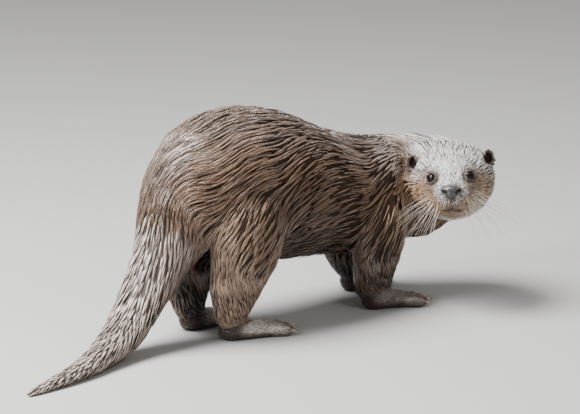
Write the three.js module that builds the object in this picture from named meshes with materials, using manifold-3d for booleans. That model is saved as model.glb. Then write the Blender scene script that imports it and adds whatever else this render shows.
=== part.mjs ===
// A Eurasian otter (Lutra lutra) at life size, standing with an arched back and looking back over its
// right shoulder. Units are millimetres. +X runs from the rump to the shoulders, +Y is the otter's left,
// +Z is up and the ground is z = 0.
//
// The body is built whole and then parted. Each length of it is a loft: oval rings carried along a smooth
// line through a few stations. The lofts are joined into one solid, and thin cuts along planes and
// egg-shaped surfaces divide that solid into the parts that a person would name.

import * as THREE from "three";
import { ParametricGeometry } from "three/addons/geometries/ParametricGeometry.js";
import { mergeVertices } from "three/addons/utils/BufferGeometryUtils.js";
import Module from "manifold-3d";

const wasm = await Module();
wasm.setup();

// ---------------------------------------------------------------- driving sizes

const ORIGIN = [-13.8, -40.9]; // ground point under the middle of the otter's bounding box
const CUT = 0.4; // gap left between two neighbouring parts

const HEAD = { at: [275, -115.5, 165], turn: -136, pitch: 1, roll: 4.5 }; // angles in degrees
const EYE = { at: [33, 22.5, 14], radius: 7 }; // forward, sideways and up from the head's middle
const NOSE = { at: [64, 0, 3.5], radii: [7.5, 13.5, 9] };
const EAR = { at: [-24, 47.5, 22], radii: [5, 8.5, 12], turn: 28, cup: 0.7 }; // cup: a share of the radii

// Widths are half widths. The ball is how far ahead of the heel the foot is at its widest.
const FOOT_SIZES = {
  hind: { length: 114, height: 24, heelWidth: 15, ballWidth: 25, ball: 64, toeRadius: 6.6 },
  fore: { length: 102, height: 25, heelWidth: 15, ballWidth: 23, ball: 52, toeRadius: 6.4 },
};
const TOE_GAP = 12; // between two toes, at the ball
const TOE_ARC = 3.4; // how much shorter the toes are, times the square of their number from the middle one
const CLAW = { length: 12, radius: 2.6, dip: 0.3 };

// Where each foot stands: the ground point under its heel, and its turn from straight ahead in degrees.
const FEET = {
  hind_right: { heel: [-50, -35], turn: -10 },
  hind_left: { heel: [-53, 29], turn: 8 },
  fore_right: { heel: [188, -43], turn: -14 },
  fore_left: { heel: [236, 35], turn: 21 },
};

// ---------------------------------------------------------------- lofts

const UP = [0, 0, 1];
const FORWARD = [1, 0, 0];

// One ring of a loft: its middle, its half width, and its half height above and below the middle.
// On a leg, whose line runs down, "above" is the front and "below" is the back.
const station = (x, y, z, width, above, below = above) => [x, y, z, width, above, below];

// The spline through the stations at t from 0 to 1, with its slope: a Catmull-Rom curve in six numbers.
function along(stations, t) {
  const last = stations.length - 1;
  const s = Math.min(Math.max(t, 0), 1) * last;
  const i = Math.min(Math.floor(s), last - 1);
  const f = s - i;
  const b = stations[i];
  const c = stations[i + 1];
  const a = i > 0 ? stations[i - 1] : b.map((v, k) => 2 * v - c[k]);
  const d = i + 2 <= last ? stations[i + 2] : c.map((v, k) => 2 * v - b[k]);
  const value = [];
  const slope = [];
  for (let k = 0; k < 6; k++) {
    const p = c[k] - a[k];
    const q = 2 * a[k] - 5 * b[k] + 4 * c[k] - d[k];
    const r = 3 * (b[k] - c[k]) + d[k] - a[k];
    value.push(b[k] + 0.5 * (p * f + q * f * f + r * f ** 3));
    slope.push(0.5 * (p + 2 * q * f + 3 * r * f * f));
  }
  return { value, slope };
}

// A closed surface through the stations. Both ends are rounded over a share of the line's length.
function loft(shape, { rings = 16, sides = 20, round = [0.06, 0.06], capRings = 3 } = {}) {
  const edge = capRings / rings;
  const point = (u, v, target) => {
    let t = round[0] + ((v - edge) / (1 - 2 * edge)) * (1 - round[0] - round[1]);
    let share = 1;
    if (v < edge || v > 1 - edge) {
      const atStart = v < 0.5;
      const turn = ((atStart ? v : 1 - v) / edge) * (Math.PI / 2);
      const inward = round[atStart ? 0 : 1] * (1 - Math.cos(turn));
      t = atStart ? inward : 1 - inward;
      share = Math.sin(turn);
    }
    const { value, slope } = along(shape.stations, t);
    const [x, y, z, width, above, below] = value;
    const tangent = new THREE.Vector3(...slope.slice(0, 3)).normalize();
    const side = new THREE.Vector3(...shape.crown).cross(tangent).normalize();
    const crown = tangent.clone().cross(side);
    const angle = u * 2 * Math.PI;
    const rise = Math.sin(angle);
    target.set(x, y, z).addScaledVector(side, Math.cos(angle) * width * share);
    target.addScaledVector(crown, rise * (rise > 0 ? above : below) * share);
  };
  return solid(new ParametricGeometry(point, sides, rings));
}

// An egg with half sizes along x, y and z, turned about z by a number of degrees.
function egg(centre, radii, { turn = 0, grow = 0, detail = 9 } = {}) {
  const ball = new THREE.SphereGeometry(1, detail, Math.round(detail * 0.7)).rotateX(Math.PI / 2);
  ball.scale(...radii.map((r) => r + grow)).rotateZ(THREE.MathUtils.degToRad(turn));
  return solid(ball.translate(...centre));
}

// The space beyond a plane through a point, on the side its normal points to, moved out by a distance.
function beyond(at, normal, grow = 0) {
  const size = 1200; // a box larger than the otter, with one face on the plane
  const frame = new THREE.Matrix4();
  const n = new THREE.Vector3(...normal).normalize();
  const turn = new THREE.Quaternion().setFromUnitVectors(new THREE.Vector3(...UP), n);
  const corner = new THREE.Vector3(...at).addScaledVector(n, size / 2 - grow);
  frame.compose(corner, turn, new THREE.Vector3(1, 1, 1));
  return solid(new THREE.BoxGeometry(size, size, size).applyMatrix4(frame));
}

// ---------------------------------------------------------------- solids

// A closed three.js surface as a manifold-3d solid, with its faces turned outwards.
function solid(geometry) {
  const bare = geometry.clone();
  bare.deleteAttribute("normal");
  bare.deleteAttribute("uv");
  const merged = mergeVertices(bare, 1e-3);
  const index = merged.index.array;
  const corners = [];
  for (let i = 0; i < index.length; i += 3) {
    const [a, b, c] = index.slice(i, i + 3);
    if (a !== b && b !== c && c !== a) corners.push(a, b, c);
  }
  const vertProperties = merged.attributes.position.array;
  const made = (triVerts) => new wasm.Manifold(new wasm.Mesh({ numProp: 3, vertProperties, triVerts }));
  const outwards = made(new Uint32Array(corners));
  return outwards.volume() > 0 ? outwards : made(new Uint32Array(corners).reverse());
}

const join = (...solids) => solids.reduce((whole, next) => whole.add(next));
const cut = (whole, ...tools) => tools.reduce((rest, tool) => rest.subtract(tool), whole);
const largest = (whole) => whole.decompose().sort((a, b) => b.volume() - a.volume())[0];

function geometryOf(manifold) {
  const mesh = manifold.getMesh();
  const geometry = new THREE.BufferGeometry();
  geometry.setAttribute("position", new THREE.BufferAttribute(mesh.vertProperties, mesh.numProp));
  geometry.setIndex(new THREE.BufferAttribute(mesh.triVerts, 1));
  geometry.computeVertexNormals();
  return geometry;
}

// ---------------------------------------------------------------- trunk, neck and tail

// One line runs from the tip of the tail, over the arched back, to the inside of the head.
const SPINE = {
  crown: UP,
  stations: [
    station(-384, -73, 4, 4, 3.5, 5.5), // tip of the tail
    station(-326, -63, 8, 10, 8.5, 10),
    station(-274, -49, 12.5, 14.5, 12.5, 14),
    station(-228, -30, 19, 20, 18, 20.5), // where the tail meets the ground
    station(-188, -14, 31, 25, 24, 28),
    station(-158, -5, 53, 28.5, 28),
    station(-133, -2, 83, 32.5, 32),
    station(-108, 0, 117, 40, 40, 39), // root of the tail
    station(-88, 0, 146, 52, 52, 50),
    station(-66, 0, 174, 65, 65, 60), // rump
    station(-36, 0, 192, 76, 82, 76), // pelvis
    station(2, 0, 195, 82, 89, 84), // loin
    station(47, 0, 182, 84, 94, 91), // front slope of the arch
    station(94, 0, 165, 81, 91, 90), // waist
    station(140, 0, 153, 77, 85, 80), // ribs
    station(184, 0, 147, 73, 79, 79), // chest
    station(222, 1, 147, 68, 72, 79), // shoulders
    station(254, -2, 150, 62, 65, 78), // base of the neck
    station(282, -15, 156, 57, 57, 82), // neck
    station(300, -38, 160, 54, 52, 82),
    station(306, -65, 163, 51, 49, 66), // nape
    station(297, -90, 164, 46, 45, 52), // inside the back of the head
  ],
};

// ---------------------------------------------------------------- head

const headFrame = new THREE.Group();
headFrame.position.set(...HEAD.at);
const headAngles = [HEAD.roll, HEAD.pitch, HEAD.turn].map((a) => THREE.MathUtils.degToRad(a));
headFrame.rotation.set(...headAngles, "ZYX");
headFrame.updateMatrix();

// Skull and muzzle: x runs forward to the nose, y to the otter's left, z up.
const SKULL = {
  crown: UP,
  stations: [
    station(-70, 0, 0, 46, 42, 46),
    station(-46, 0, 0, 54, 45, 51),
    station(-18, 0, -2, 56.5, 46, 50),
    station(7, 0, -3, 49, 43, 47),
    station(25, 0, -5, 38.5, 36, 40),
    station(40, 0, -7, 31.5, 30, 32),
    station(52, 0, -6, 25.5, 23, 24),
    station(61, 0, -3, 18, 16, 17),
    station(67, 0, 0, 11, 10, 10),
  ],
};
const LIP_PAD = { at: [43, 12, -10], radii: [20, 17.5, 15] };
const CHIN = { at: [37, 0, -27], radii: [18, 16, 12] };

function skull() {
  const { at, radii } = LIP_PAD;
  const pads = [1, -1].map((s) => egg(onSide(at, s), radii));
  const bone = loft(SKULL, { rings: 14, sides: 16, round: [0.1, 0.05], capRings: 2 });
  return join(bone, ...pads, egg(CHIN.at, CHIN.radii, { detail: 7 }));
}

// A place in the head's frame, on the left (s = 1) or on the right (s = -1).
const onSide = ([x, y, z], s) => [x, s * y, z];
const nosePad = (grow) => egg(NOSE.at, NOSE.radii, { grow });
const eyeball = (s, grow) => egg(onSide(EYE.at, s), Array(3).fill(EYE.radius), { grow });

function ear(s, grow) {
  const turn = s * EAR.turn;
  const shell = egg(onSide(EAR.at, s), EAR.radii, { turn, grow });
  if (grow > 0) return shell;
  const [x, y, z] = EAR.at;
  const cupRadii = EAR.radii.map((r) => r * EAR.cup);
  return cut(shell, egg(onSide([x + EAR.radii[0], y + 2, z], s), cupRadii, { turn, detail: 7 }));
}

// ---------------------------------------------------------------- feet

// A foot lies along +x from its heel at the origin. The sole widens into the web between the toes.
function foot({ length, height, heelWidth, ballWidth, ball, toeRadius }) {
  const half = height / 2;
  const tipHeight = 5;
  const sole = {
    crown: UP,
    stations: [
      station(1, 0, half, heelWidth, half, half + 2),
      station(ball * 0.5, 0, half, (heelWidth + ballWidth) / 2, half, half + 2),
      station(ball, 0, half * 0.75, ballWidth, half * 0.75, half),
      station(length * 0.84, 0, 4, ballWidth * 1.08, 3, 6),
    ],
  };
  const pieces = [loft(sole, { rings: 6, sides: 8, round: [0.12, 0.06], capRings: 2 })];
  for (let k = -2; k <= 2; k++) {
    const reach = length - CLAW.length * 0.7 - TOE_ARC * k * k;
    const toe = {
      crown: UP,
      stations: [
        station(ball, k * TOE_GAP * 0.76, half * 0.8, toeRadius, toeRadius, toeRadius * 1.5),
        station((ball + reach) / 2, k * TOE_GAP * 0.95, half / 1.5, toeRadius, toeRadius, toeRadius * 1.5),
        station(reach, k * TOE_GAP * 1.12, tipHeight, toeRadius * 0.85, toeRadius * 0.8, toeRadius),
      ],
    };
    pieces.push(loft(toe, { rings: 4, sides: 5, round: [0.05, 0.16], capRings: 1 }));
    const claw = new THREE.ConeGeometry(CLAW.radius, CLAW.length, 3);
    claw.rotateZ(-Math.PI / 2).rotateY(CLAW.dip);
    pieces.push(solid(claw.translate(reach + CLAW.length * 0.2, k * TOE_GAP * 1.12, tipHeight)));
  }
  return join(...pieces);
}

function placedFoot(name) {
  const { heel, turn } = FEET[name];
  const frame = new THREE.Matrix4().makeRotationZ(THREE.MathUtils.degToRad(turn)).setPosition(...heel, 0);
  return foot(FOOT_SIZES[name.split("_")[0]]).transform(frame.elements);
}

// ---------------------------------------------------------------- legs

// A hind leg from inside the pelvis down to the ankle, which stands over the heel.
function hindLeg(s, [x, y]) {
  return [
    station(-20, s * 34, 190, 38, 52, 52),
    station(-14, s * 46, 160, 41, 58, 62),
    station(-13, s * 54, 122, 36, 50, 62),
    station(x + 28, s * 4 + y * 1.3, 88, 29, 38, 54),
    station(x + 19, s * 4 + y * 1.2, 58, 24, 32, 42),
    station(x + 15, s * 2 + y * 1.1, 34, 19, 24, 26),
    station(x + 13, y, 16, 15, 17, 16),
  ];
}

// A foreleg from inside the chest down to the wrist, which stands over the heel of the paw.
function foreLeg(s, [x, y]) {
  const ahead = x - FEET.fore_right.heel[0];
  return [
    station(196 + 0.1 * ahead, s * 34, 156, 34, 50, 46),
    station(202 + 0.45 * ahead, s * 45, 120, 36, 54, 48),
    station(203 + 0.75 * ahead, s * 50, 88, 31, 50, 40),
    station(203 + 0.8 * ahead, s * 50, 60, 25, 35, 33),
    station(x + 15, y * 1.08, 34, 21, 29, 27),
    station(x + 18, y, 16, 17, 26, 19),
  ];
}

const LEGS = ["hind_right", "hind_left", "fore_right", "fore_left"];

function leg(name) {
  const side = name.endsWith("left") ? 1 : -1;
  const line = name.startsWith("hind") ? hindLeg : foreLeg;
  const stations = line(side, FEET[name].heel);
  return loft({ crown: FORWARD, stations }, { rings: 10, sides: 12, round: [0.14, 0.05], capRings: 2 });
}

// ---------------------------------------------------------------- the whole body, parted

const otter = new THREE.Group();
const model = new THREE.Group();
model.position.set(-ORIGIN[0], -ORIGIN[1], 0);
otter.add(model);

const paint = (color, roughness) => new THREE.MeshStandardMaterial({ color, roughness, metalness: 0 });
const COAT = paint(0x6b5544, 0.55);
const FACE = paint(0x8d7763, 0.6);
const FOOT_SKIN = paint(0x5f4e42, 0.6);
const NOSE_SKIN = paint(0x35302f, 0.35);
const EYE_BLACK = paint(0x0d0a09, 0.08);

function addPart(name, manifold, material) {
  const mesh = new THREE.Mesh(geometryOf(largest(manifold)), material);
  mesh.name = name;
  model.add(mesh);
}

const inHeadFrame = (part) => part.transform(headFrame.matrix.elements);
const SIDES = { left: 1, right: -1 };

let body = join(
  loft(SPINE, { rings: 40, sides: 18, round: [0.008, 0.02], capRings: 2 }),
  inHeadFrame(skull()),
  ...LEGS.flatMap((name) => [leg(name), placedFoot(name)]),
);
body = cut(body, beyond([0, 0, 0], [0, 0, -1]));

// Takes the part of the body inside a region out of it. The region is a function of how far it is grown.
function takeOff(region) {
  const part = body.intersect(region(0));
  body = body.subtract(region(CUT));
  return largest(part);
}

// The head is what lies in this box, in the head's frame. Its back face is the cut to the neck.
const HEAD_ROOM = new THREE.Box3(new THREE.Vector3(-50, -58, -57), new THREE.Vector3(90, 70, 66));
const headRoom = (grow) => {
  const room = HEAD_ROOM.clone().expandByScalar(grow);
  const size = room.getSize(new THREE.Vector3());
  const middle = room.getCenter(new THREE.Vector3());
  return inHeadFrame(solid(new THREE.BoxGeometry(...size).translate(...middle)));
};
const headPart = takeOff(headRoom);
const faceTools = Object.values(SIDES).flatMap((s) => [eyeball(s, CUT), ear(s, CUT)]);
addPart("head", cut(headPart, inHeadFrame(join(nosePad(CUT), ...faceTools))), FACE);
addPart("nose_pad", inHeadFrame(nosePad(0)), NOSE_SKIN);
for (const [name, s] of Object.entries(SIDES)) {
  addPart(`eye_${name}`, inHeadFrame(eyeball(s, 0)), EYE_BLACK);
  addPart(`ear_${name}`, inHeadFrame(ear(s, 0)), COAT);
}

// Each leg is taken off the body in an egg over the hip or shoulder and a box round what is below it,
// and then cut level at the knee and the ankle. The egg's place is that of the right leg's egg, on the
// left side. The box reaches from behind the heel to ahead of it, and up to a height.
const LEG_CUTS = {
  hind: {
    upper: "thigh",
    lower: "shank",
    egg: { at: [-20, 86, 112], radii: [74, 68, 84] },
    box: { back: -36, front: 92, height: 86 },
    knee: 88,
    ankle: 27,
  },
  fore: {
    upper: "upper_arm",
    lower: "forearm",
    egg: { at: [210, 86, 84], radii: [60, 62, 66] },
    box: { back: -30, front: 76, height: 60 },
    knee: 74,
    ankle: 28,
  },
};
const LEG_BOX = { width: 90, middle: 45.5 }; // across the body, from just beside its middle plane
const FOOT_ROOM = 20; // how far the lowest box reaches past the foot

// What of a solid lies between two heights.
function between(whole, low, high) {
  return whole.intersect(beyond([0, 0, low], UP)).intersect(beyond([0, 0, high], [0, 0, -1]));
}

for (const name of LEGS) {
  const [which, sideName] = name.split("_");
  const s = SIDES[sideName];
  const cuts = LEG_CUTS[which];
  const size = FOOT_SIZES[which];
  const heelX = FEET[name].heel[0];
  const ahead = heelX - FEET[`${which}_right`].heel[0];
  const lowBox = { back: -2 * FOOT_ROOM, front: size.length + FOOT_ROOM, height: size.height + FOOT_ROOM };
  const boxSolid = ({ back, front, height }, grow) => {
    const box = new THREE.BoxGeometry(front - back + 2 * grow, LEG_BOX.width, height + grow);
    const place = onSide([heelX + (front + back) / 2, LEG_BOX.middle - grow, (height + grow) / 2 - 1], s);
    return solid(box.translate(...place));
  };
  const [eggX, eggY, eggZ] = cuts.egg.at;
  const eggPlace = onSide([eggX + 0.5 * ahead, eggY, eggZ], s);
  const region = (grow) =>
    join(egg(eggPlace, cuts.egg.radii, { grow }), boxSolid(cuts.box, grow), boxSolid(lowBox, grow));
  const whole = takeOff(region);
  addPart(`${cuts.upper}_${sideName}`, between(whole, cuts.knee, 400), COAT);
  addPart(`${cuts.lower}_${sideName}`, between(whole, cuts.ankle, cuts.knee - CUT), COAT);
  addPart(`${which}_foot_${sideName}`, between(whole, -1, cuts.ankle - CUT), FOOT_SKIN);
}

const TAIL_CUTS = [
  { at: [-92, 0, 140], normal: [-0.75, 0, -0.66] },
  { at: [-165, -6, 48], normal: [-0.8, -0.1, -0.6] },
  { at: [-262, -36, 14], normal: [-0.95, -0.27, -0.1] },
];
const tailParts = ["tail_base", "tail_middle", "tail_tip"];
let tail = takeOff((grow) => beyond(TAIL_CUTS[0].at, TAIL_CUTS[0].normal, grow));
for (let i = 0; i < tailParts.length; i++) {
  const next = TAIL_CUTS[i + 1];
  addPart(tailParts[i], next ? cut(tail, beyond(next.at, next.normal, CUT)) : tail, COAT);
  if (next) tail = tail.intersect(beyond(next.at, next.normal));
}

const NECK_CUT = { at: [252, 0, 150], normal: [0.93, -0.36, 0.05] };
addPart("neck", takeOff((grow) => beyond(NECK_CUT.at, NECK_CUT.normal, grow)), COAT);
addPart("trunk", body, COAT);

export default otter;
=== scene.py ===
"""A Eurasian otter at life size, standing on a pale floor and looking back over its right shoulder.

All lengths are in metres. +X runs from the rump to the shoulders, +Y is the otter's left, +Z is up.
"""
import math
from contextlib import contextmanager

import bmesh
import bpy
import numpy as np
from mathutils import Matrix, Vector


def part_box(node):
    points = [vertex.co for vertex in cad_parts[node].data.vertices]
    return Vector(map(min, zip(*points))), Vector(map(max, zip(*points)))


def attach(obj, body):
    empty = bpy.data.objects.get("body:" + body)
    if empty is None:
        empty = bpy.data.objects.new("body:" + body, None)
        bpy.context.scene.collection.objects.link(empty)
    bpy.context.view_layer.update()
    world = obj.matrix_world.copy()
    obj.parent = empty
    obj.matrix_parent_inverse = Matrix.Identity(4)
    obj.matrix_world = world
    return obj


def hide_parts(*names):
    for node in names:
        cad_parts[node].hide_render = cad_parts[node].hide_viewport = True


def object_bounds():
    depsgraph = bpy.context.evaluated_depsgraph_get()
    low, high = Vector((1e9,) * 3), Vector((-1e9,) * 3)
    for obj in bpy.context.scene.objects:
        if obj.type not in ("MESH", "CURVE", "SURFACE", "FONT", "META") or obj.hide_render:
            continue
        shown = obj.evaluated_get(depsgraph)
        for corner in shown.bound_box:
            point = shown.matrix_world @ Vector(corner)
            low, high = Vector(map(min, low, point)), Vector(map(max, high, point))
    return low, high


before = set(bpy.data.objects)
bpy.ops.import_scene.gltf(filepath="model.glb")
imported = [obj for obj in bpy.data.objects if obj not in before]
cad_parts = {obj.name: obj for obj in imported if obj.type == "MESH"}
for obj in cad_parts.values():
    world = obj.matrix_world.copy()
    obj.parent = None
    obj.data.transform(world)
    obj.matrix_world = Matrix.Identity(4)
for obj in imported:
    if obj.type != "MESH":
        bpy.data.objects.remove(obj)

cad_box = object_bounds()
MM = 0.001

# ---- studio ----
# A plain pale floor, one broad soft light overhead like an overcast sky, and two weaker soft lights.
# The camera is a long lens a few metres away, a little above the otter, on its right and behind it.


class Paint:
    """One material's nodes. node() adds any node, and wires from it can be used in arithmetic."""

    def __init__(self, name):
        self.material = bpy.data.materials.new(name)
        self.material.use_nodes = True
        self.tree = self.material.node_tree
        self.shader = self.tree.nodes["Principled BSDF"]

    def node(self, kind, sockets=None, out=0, **settings):
        """A node of this kind, with its settings made first and then its sockets set or linked."""
        made = self.tree.nodes.new(kind)
        for key, value in settings.items():
            setattr(made, key, value)
        for key, value in (sockets or {}).items():
            self.feed(made.inputs[key], value)
        return Wire(self, made.outputs[out])

    def feed(self, socket, value):
        if isinstance(value, Wire):
            self.tree.links.new(value.socket, socket)
        else:
            socket.default_value = value

    def mix(self, share, low, high):
        """The colour that is low where share is 0 and high where it is 1."""
        return self.node("ShaderNodeMix", {0: share, 6: low, 7: high}, out=2, data_type="RGBA")

    def ramp(self, value, low, high):
        """0 where value is low, 1 where it is high, and smooth between."""
        sockets = {0: value, 1: low, 2: high}
        return self.node("ShaderNodeMapRange", sockets, interpolation_type="SMOOTHSTEP")

    def attribute(self, name, out="Fac"):
        return self.node("ShaderNodeAttribute", attribute_name=name, out=out)

    def pattern(self, kind, **sockets):
        """A texture node of this kind on the object's own coordinates."""
        where = self.node("ShaderNodeTexCoord", out="Object")
        return self.node(kind, {"Vector": where, **sockets})

    def noise(self, scale, detail=3.0):
        return self.pattern("ShaderNodeTexNoise", Scale=scale, Detail=detail)

    def finish(self, **sockets):
        """Feeds the shader: base_color for Base Color, and so on. A bump is (height, strength, distance)."""
        for key, value in sockets.items():
            if key == "bump":
                height, strength, distance = value
                bump = {"Height": height, "Strength": strength, "Distance": distance}
                self.feed(self.shader.inputs["Normal"], self.node("ShaderNodeBump", bump))
                continue
            label = "Specular IOR Level" if key == "specular" else key.replace("_", " ").title()
            self.feed(self.shader.inputs[label], value)
        return self.material


class Wire:
    """An output socket that takes part in arithmetic by adding Math nodes."""

    def __init__(self, paint, socket):
        self.paint, self.socket = paint, socket

    def math(self, operation, *values):
        return self.paint.node("ShaderNodeMath", dict(enumerate(values)), operation=operation)

    def __add__(self, other):
        return self.math("ADD", self, other)

    def __rsub__(self, other):
        return self.math("SUBTRACT", other, self)

    def __mul__(self, other):
        return self.math("MULTIPLY", self, other)

    __radd__ = __add__
    __rmul__ = __mul__


def unit(vectors):
    """Vectors, or one vector, made one long."""
    vectors = np.asarray(vectors, float)
    return vectors / np.maximum(np.linalg.norm(vectors, axis=-1, keepdims=True), 1e-12)


def linked(name, data):
    """A new object of the scene that holds this mesh, lamp or lens."""
    made = bpy.data.objects.new(name, data)
    bpy.context.scene.collection.objects.link(made)
    return made


def facing(place, aim):
    """The turn of a lamp or camera that stands at a place and looks at its aim."""
    return (Vector(place) - Vector(aim)).to_track_quat("Z", "Y").to_euler()


OTTER_MIDDLE = (0, 0, 0.12)


def soft_light(name, place, size, power, colour, in_reflections=True):
    """A round soft light at a place, facing the middle of the otter."""
    lamp = bpy.data.lights.new(name, "AREA")
    lamp.shape, lamp.size, lamp.energy, lamp.color = "DISK", size, power, colour
    made = linked(name, lamp)
    made.location, made.rotation_euler = place, facing(place, OTTER_MIDDLE)
    made.visible_glossy = in_reflections


soft_light("sky", (-0.9, 0.5, 2.2), 1.3, 186, (0.98, 0.98, 1.0))
soft_light("left_window", (-2.3, 0.2, 1.3), 0.9, 74, (0.97, 0.98, 1.0))
soft_light("front_fill", (-0.3, -2.4, 1.7), 1.0, 22, (1.0, 0.97, 0.93), in_reflections=False)

world = bpy.data.worlds.new("studio")
world.use_nodes = True
air = world.node_tree.nodes["Background"].inputs
air["Color"].default_value = (0.86, 0.85, 0.84, 1)
air["Strength"].default_value = 0.45
bpy.context.scene.world = world

FLOOR_HALF = 12.0
floor_mesh = bpy.data.meshes.new("floor")
corners = [(x * FLOOR_HALF, y * FLOOR_HALF, 0) for x, y in ((-1, -1), (1, -1), (1, 1), (-1, 1))]
floor_mesh.from_pydata(corners, [], [(0, 1, 2, 3)])
floor = linked("floor", floor_mesh)
floor_mesh.materials.append(Paint("pale_floor").finish(base_color=(0.42, 0.415, 0.40, 1), roughness=0.85))

CAMERA_AZIMUTH, CAMERA_RISE = math.radians(-42.0), math.radians(14.7)
CAMERA_DISTANCE = 4.5
CAMERA_FROM, CAMERA_AIM = Vector((0.0138, 0.0409, 0.0)), Vector((0.0959, 0.0189, 0.1472))
PIXELS_PER_RADIAN, FRAME_WIDTH = 3600.0, 580.0
lens = bpy.data.cameras.new("camera")
lens.sensor_width = 36.0
lens.lens = lens.sensor_width * PIXELS_PER_RADIAN / FRAME_WIDTH
lens.clip_end = 50.0
backwards = Vector((
    math.sin(CAMERA_AZIMUTH) * math.cos(CAMERA_RISE),
    -math.cos(CAMERA_AZIMUTH) * math.cos(CAMERA_RISE),
    math.sin(CAMERA_RISE),
))
camera = linked("camera", lens)
camera.location = CAMERA_FROM + backwards * CAMERA_DISTANCE
camera.rotation_euler = facing(camera.location, CAMERA_AIM)
bpy.context.scene.camera = camera

# ---- landmarks ----
# Where the otter's own directions are: the head's axes come from its eyes, ears and nose, and the
# body's line runs from the nose, through the neck and along the trunk, to the tip of the tail.


def lengths(vectors):
    return np.linalg.norm(vectors, axis=1)


def middle(*nodes):
    """The middle of the boxes of these nodes."""
    return np.mean([np.mean([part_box(node)[0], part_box(node)[1]], axis=0) for node in nodes], axis=0)


def rows_of(items, key, width, kind=np.float32):
    """One property of all of a mesh's points, edges or triangles, a row for each."""
    flat = np.empty(len(items) * width, kind)
    items.foreach_get(key, flat)
    return flat.reshape(-1, width)


def points_of(mesh):
    return rows_of(mesh.vertices, "co", 3).astype(float)


def triangles_of(mesh):
    """The numbers of the three points of each of a mesh's triangles."""
    mesh.calc_loop_triangles()
    return rows_of(mesh.loop_triangles, "vertices", 3, np.int32)


def corners_of(node):
    """A node's triangles as an array of three corners each."""
    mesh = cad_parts[node].data
    return points_of(mesh)[triangles_of(mesh)]


EAR_TO_NOSE_DROP = math.atan2(18.5, 88.0)  # how far the line from ears to nose dips below the head's axis
NOSE_AHEAD, NOSE_UP = 64 * MM, 3.5 * MM  # the nose from the middle of the head
nose_middle = middle("nose_pad")
head_left = unit(middle("eye_left") - middle("eye_right"))
ears_to_nose = unit(nose_middle - middle("ear_left", "ear_right"))
head_up = unit(np.cross(ears_to_nose, head_left))
head_forward = ears_to_nose * math.cos(EAR_TO_NOSE_DROP) + head_up * math.sin(EAR_TO_NOSE_DROP)
head_left = unit(head_left - head_forward * (head_left @ head_forward))
head_up = np.cross(head_forward, head_left)
head_middle = nose_middle - head_forward * NOSE_AHEAD - head_up * NOSE_UP
HEAD_AXES = np.array([head_forward, head_left, head_up])


def to_head(points):
    """Points in the head's own directions: forwards, left and up from its middle."""
    return (points - head_middle) @ HEAD_AXES.T


def from_head(points):
    return np.asarray(points, float) @ HEAD_AXES + head_middle


def curve_through(knots, count):
    """Evenly numbered points on the Catmull-Rom curve through the knots."""
    knots = np.asarray(knots, float)
    ends = np.vstack([2 * knots[0] - knots[1], knots, 2 * knots[-1] - knots[-2]])
    s = np.linspace(0, len(knots) - 1 - 1e-9, count)
    i = s.astype(int)
    f = (s - i)[:, None]
    a, b, c, d = (ends[i + k] for k in range(4))
    return b + 0.5 * ((c - a) * f + (2 * a - 5 * b + 4 * c - d) * f**2 + (3 * (b - c) + d - a) * f**3)


def doubled_areas(corners):
    """Twice the area of each triangle."""
    return lengths(np.cross(corners[:, 1] - corners[:, 0], corners[:, 2] - corners[:, 0]))


def slices(nodes, step):
    """The middles of what these nodes hold between planes across X, a step apart."""
    corners = np.concatenate([corners_of(node) for node in nodes])
    middles = corners.mean(1)
    areas = doubled_areas(corners)
    edges = np.arange(middles[:, 0].min(), middles[:, 0].max() + step, step)
    which = np.digitize(middles[:, 0], edges)
    rows = [which == k for k in np.unique(which) if (which == k).sum() > 6]
    return np.array([np.average(middles[row], axis=0, weights=areas[row]) for row in rows])


SLICE = 40 * MM
TAIL_PARTS = ("tail_base", "tail_middle", "tail_tip")
head_line = from_head([[60 * MM, 0, 0], [0, 0, 0], [-45 * MM, 0, 0]])
back_line, tail_line = slices(["trunk"], SLICE), slices(TAIL_PARTS, SLICE)
body_knots = np.vstack([head_line, middle("neck"), back_line[::-1][1:], tail_line[::-1][1:]])
body_line = curve_through(body_knots, 240)

LEG_PARTS = {"hind": ("thigh", "shank", "hind_foot"), "fore": ("upper_arm", "forearm", "fore_foot")}
LEGS = {f"{end}_{side}": [f"{part}_{side}" for part in parts]
        for end, parts in LEG_PARTS.items() for side in ("right", "left")}

# ---- skin ----
# One closed skin over the whole animal, from the lips to the tail and the toes. It is drawn over the
# solids with no seams, smoothed, and sunk below them by the depth of the coat at each place.

VOXEL = 2.85 * MM
OVERLAP = 0.35 * MM  # each solid is swelled by this, so that the thin cuts between them close
SAMPLE_GAP = 3 * MM
COAT_DEPTH = {  # how far the skin lies inside the solids
    "trunk": 5.0, "neck": 5.0, "thigh": 4.2, "shank": 2.6, "upper_arm": 4.2, "forearm": 2.6,
    "tail_base": 4.0, "tail_middle": 3.2, "tail_tip": 1.4, "head": 2.4, "ear": 0.5, "nose_pad": 0.4,
    "eye": 0.4, "hind_foot": 0.7, "fore_foot": 0.7,
}
SOFTNESS = {  # how much of each round of smoothing a part takes, 0.5 where it isn't named
    "head": 0.30, "ear": 0.04, "nose_pad": 0.2, "eye": 0.2, "hind_foot": 0.08, "fore_foot": 0.08,
    "tail_tip": 0.2,
}
node_names = sorted(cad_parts)
kind_of = {name: name.removesuffix("_left").removesuffix("_right") for name in node_names}


def fade(value, low, high):
    """0 up to low, 1 from high on, and a smooth S between them. high may be below low."""
    share = np.clip((value - low) / (high - low), 0.0, 1.0)
    return share * share * (3 - 2 * share)


@contextmanager
def editing(mesh):
    """The mesh as one that can be edited, which is put back at the end."""
    work = bmesh.new()
    work.from_mesh(mesh)
    yield work
    work.to_mesh(mesh)
    work.free()


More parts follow.
